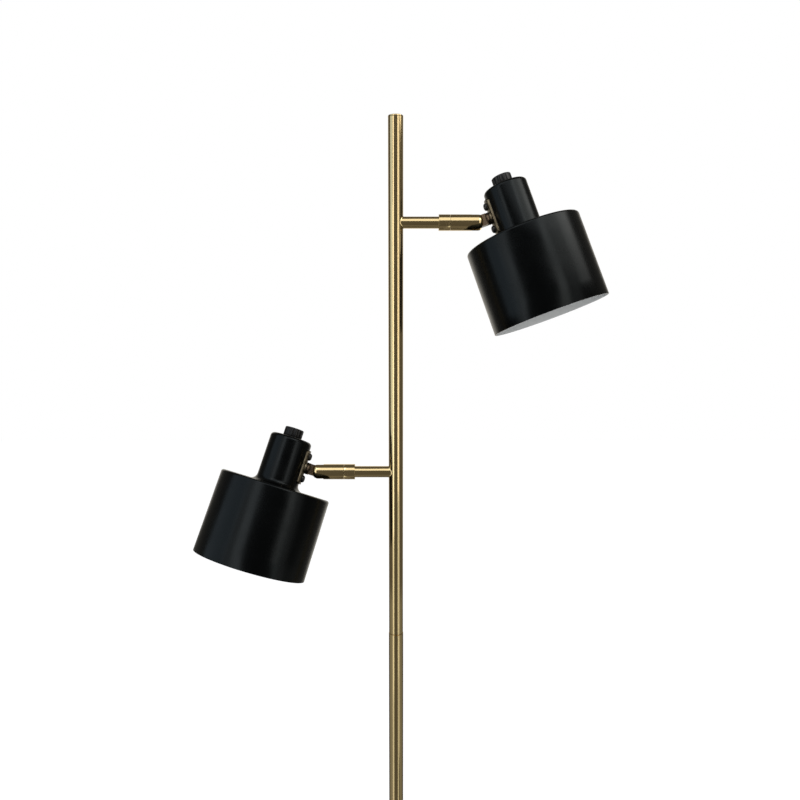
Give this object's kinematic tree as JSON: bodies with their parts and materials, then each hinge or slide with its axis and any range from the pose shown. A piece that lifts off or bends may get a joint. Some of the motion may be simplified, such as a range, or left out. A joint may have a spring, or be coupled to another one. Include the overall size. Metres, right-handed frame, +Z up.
{
  "type": "two-head floor lamp",
  "caption": "Free-standing floor lamp: round weighted base, slim brushed brass pole, two short fixed arms, each with a black drum spot head that swivels, tilts and has a rotary switch.",
  "frame": {"origin": "centre of the felt underside of the base, on the pole axis, where the lamp meets the floor", "axes": "+Z up along the pole; +X towards the upper head, -X towards the lower head; -Y is the front, towards which both shades lean; the cord outlet is at +Y"},
  "size_m": [0.4417, 0.2514, 1.55],
  "materials": {
    "felt": "needled felt",
    "cast_iron": "rough sand casting",
    "black_paint": "satin black powder coat",
    "shade_paint": "satin black outside, white inside",
    "black_plastic": "satin moulded thermoset",
    "cream_plastic": "moulded",
    "zinc_steel": "zinc plated",
    "brushed_brass": "brushed and lacquered antique brass",
    "plain_brass": "turned",
    "bronze": "dark antique",
    "black_screws": "black zinc",
    "nickel_brass": "nickel plated",
    "lead_sheath": "flexible sheath"
  },
  "bodies": {
    "stand": {"felt_pad": "felt", "base_weight": "cast_iron", "base_cover": "black_paint", "cord_bush": "black_plastic", "terminal_block": "cream_plastic", "base_washer": "zinc_steel", "base_nut": "zinc_steel", "base_nipple": "zinc_steel", "foot_collar": "brushed_brass", "pole_inserts": "plain_brass", "pole_joiners": "zinc_steel", "bottom_tube": "brushed_brass", "middle_tube": "brushed_brass", "top_tube": "brushed_brass", "pole_cap": "brushed_brass", "pole_leads": "lead_sheath", "upper_arm": "brushed_brass", "lower_arm": "brushed_brass", "upper_collar": "brushed_brass", "lower_collar": "brushed_brass"},
    "upper_swivel": {"upper_barrel": "brushed_brass", "upper_swivel_post": "zinc_steel", "upper_friction_washer": "zinc_steel", "upper_pivot_screw": "brushed_brass"},
    "upper_head": {"upper_shade": "shade_paint", "upper_saddle_plate": "brushed_brass", "upper_saddle_screws": "black_screws", "upper_backing_plate": "zinc_steel", "upper_knuckle_stud": "bronze", "upper_stud_washer": "plain_brass", "upper_stud_nut": "zinc_steel", "upper_switch_housing": "black_plastic", "upper_switch_bushing": "nickel_brass", "upper_bushing_nut": "nickel_brass", "upper_socket_body": "black_plastic", "upper_socket_shell": "nickel_brass", "upper_centre_contact": "plain_brass", "upper_head_lead": "lead_sheath"},
    "upper_switch": {"upper_knob": "black_plastic", "upper_switch_shaft": "zinc_steel"},
    "lower_swivel": {"lower_barrel": "brushed_brass", "lower_swivel_post": "zinc_steel", "lower_friction_washer": "zinc_steel", "lower_pivot_screw": "brushed_brass"},
    "lower_head": {"lower_shade": "shade_paint", "lower_saddle_plate": "brushed_brass", "lower_saddle_screws": "black_screws", "lower_backing_plate": "zinc_steel", "lower_knuckle_stud": "bronze", "lower_stud_washer": "plain_brass", "lower_stud_nut": "zinc_steel", "lower_switch_housing": "black_plastic", "lower_switch_bushing": "nickel_brass", "lower_bushing_nut": "nickel_brass", "lower_socket_body": "black_plastic", "lower_socket_shell": "nickel_brass", "lower_centre_contact": "plain_brass", "lower_head_lead": "lead_sheath"},
    "lower_switch": {"lower_knob": "black_plastic", "lower_switch_shaft": "zinc_steel"}
  },
  "joints": [
    {"name": "upper_head_swivel", "type": "hinge", "parent": "stand", "child": "upper_swivel", "pos_m": [0, 0, 1.4416], "axis": [1, 0, 0], "range_deg": [-155.7, 174.3]},
    {"name": "upper_head_tilt", "type": "hinge", "parent": "upper_swivel", "child": "upper_head", "pos_m": [0.087, 0, 1.4416], "axis": [0, 0.9869, -0.1616], "range_deg": [-70.4, 44.6]},
    {"name": "upper_switch_turn", "type": "hinge", "parent": "upper_head", "child": "upper_switch", "pos_m": [0.11498, 0.00638, 1.48055], "axis": [-0.3355, 0.1522, 0.9297], "continuous": true},
    {"name": "lower_head_swivel", "type": "hinge", "parent": "stand", "child": "lower_swivel", "pos_m": [0, 0, 1.1712], "axis": [-1, 0, 0], "range_deg": [-182.8, 147.2]},
    {"name": "lower_head_tilt", "type": "hinge", "parent": "lower_swivel", "child": "lower_head", "pos_m": [-0.087, 0, 1.1712], "axis": [0, -0.9521, 0.3057], "range_deg": [-73, 42]},
    {"name": "lower_switch_turn", "type": "hinge", "parent": "lower_head", "child": "lower_switch", "pos_m": [-0.11674, 0.01167, 1.20754], "axis": [0.2924, 0.2923, 0.9105], "continuous": true}
  ]
}
